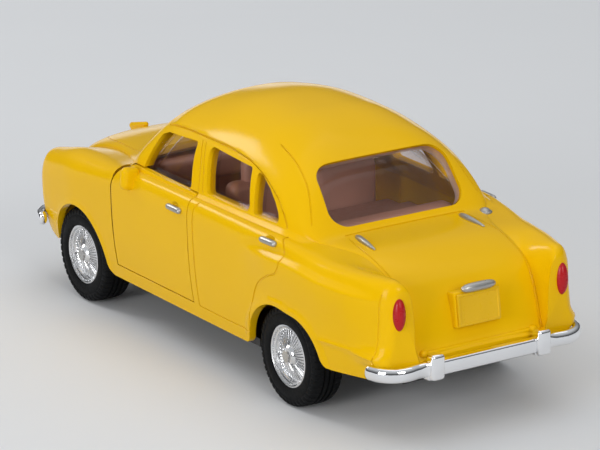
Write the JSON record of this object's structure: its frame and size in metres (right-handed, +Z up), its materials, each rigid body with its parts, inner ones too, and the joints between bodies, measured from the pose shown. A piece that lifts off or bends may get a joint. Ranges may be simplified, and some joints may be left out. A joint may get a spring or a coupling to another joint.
{
  "type": "toy car",
  "caption": "Yellow toy saloon taxi with opening front doors, chrome bumpers, wire-spoke wheels and a pull-back motor.",
  "frame": {"origin": "on the ground under the middle of the car", "axes": "+X forwards, +Y to the car's left, +Z up"},
  "size_m": [0.118, 0.0486, 0.0452],
  "materials": {
    "body_yellow": "gloss",
    "base_black": "matte",
    "interior_brown": "matte",
    "clear_glazing": "clear",
    "chrome": "polished",
    "silver_trim": "satin",
    "lamp_red": "satin",
    "lamp_clear": "gloss",
    "lamp_amber": "gloss",
    "plate": "satin",
    "steel": "bright",
    "tyre": "matte",
    "motor_case": "matte",
    "gear_white": "satin"
  },
  "bodies": {
    "car": {"body_shell": "body_yellow", "chassis_base": "base_black", "interior_tub": "interior_brown", "steering_wheel": "interior_brown", "window_glazing": "clear_glazing", "front_bumper": "chrome", "rear_bumper": "chrome", "front_grille": "chrome", "headlamp_bezels": "chrome", "headlamp_lenses": "lamp_clear", "side_lamps": "lamp_amber", "tail_lamps": "lamp_red", "boot_hinges": "silver_trim", "fuel_cap": "silver_trim", "number_plate": "plate", "plate_lamp": "silver_trim", "rear_door_handles": "silver_trim", "door_hinge_pins": "steel", "base_screws": "steel", "motor_case_left": "motor_case", "motor_case_right": "motor_case", "idler_shaft": "steel", "spring_arbor": "steel"},
    "left_door": {"left_door": "body_yellow", "left_door_handle": "silver_trim"},
    "right_door": {"right_door": "body_yellow", "right_door_handle": "silver_trim"},
    "front_wheels": {"front_axle": "steel", "front_left_hub": "chrome", "front_right_hub": "chrome", "front_left_tyre": "tyre", "front_right_tyre": "tyre"},
    "rear_wheels": {"rear_axle": "steel", "rear_left_hub": "chrome", "rear_right_hub": "chrome", "rear_left_tyre": "tyre", "rear_right_tyre": "tyre", "axle_pinion": "gear_white"},
    "idler": {"idler_gear": "gear_white"},
    "barrel": {"spring_barrel": "gear_white", "mainspring": "steel"}
  },
  "joints": [
    {"name": "left_door_hinge", "type": "hinge", "parent": "car", "child": "left_door", "pos_m": [0.0237, 0.01965, 0.0204], "axis": [0, 0, -1], "range_deg": [0, 60]},
    {"name": "right_door_hinge", "type": "hinge", "parent": "car", "child": "right_door", "pos_m": [0.0237, -0.01965, 0.0204], "axis": [0, 0, 1], "range_deg": [0, 60]},
    {"name": "front_axle_spin", "type": "hinge", "parent": "car", "child": "front_wheels", "pos_m": [0.04, 0, 0.0088], "axis": [0, 1, 0], "continuous": true},
    {"name": "rear_axle_spin", "type": "hinge", "parent": "car", "child": "rear_wheels", "pos_m": [-0.0294, 0, 0.0088], "axis": [0, 1, 0], "continuous": true},
    {"name": "idler_spin", "type": "hinge", "parent": "car", "child": "idler", "pos_m": [-0.02247, 0, 0.00977], "axis": [0, 1, 0], "continuous": true},
    {"name": "barrel_spin", "type": "hinge", "parent": "car", "child": "barrel", "pos_m": [-0.01431, 0, 0.01358], "axis": [0, 1, 0], "continuous": true}
  ],
  "couplings": [
    {"joint": "idler_spin", "follows": "rear_axle_spin", "ratio": -0.55556},
    {"joint": "barrel_spin", "follows": "rear_axle_spin", "ratio": 0.21368}
  ]
}
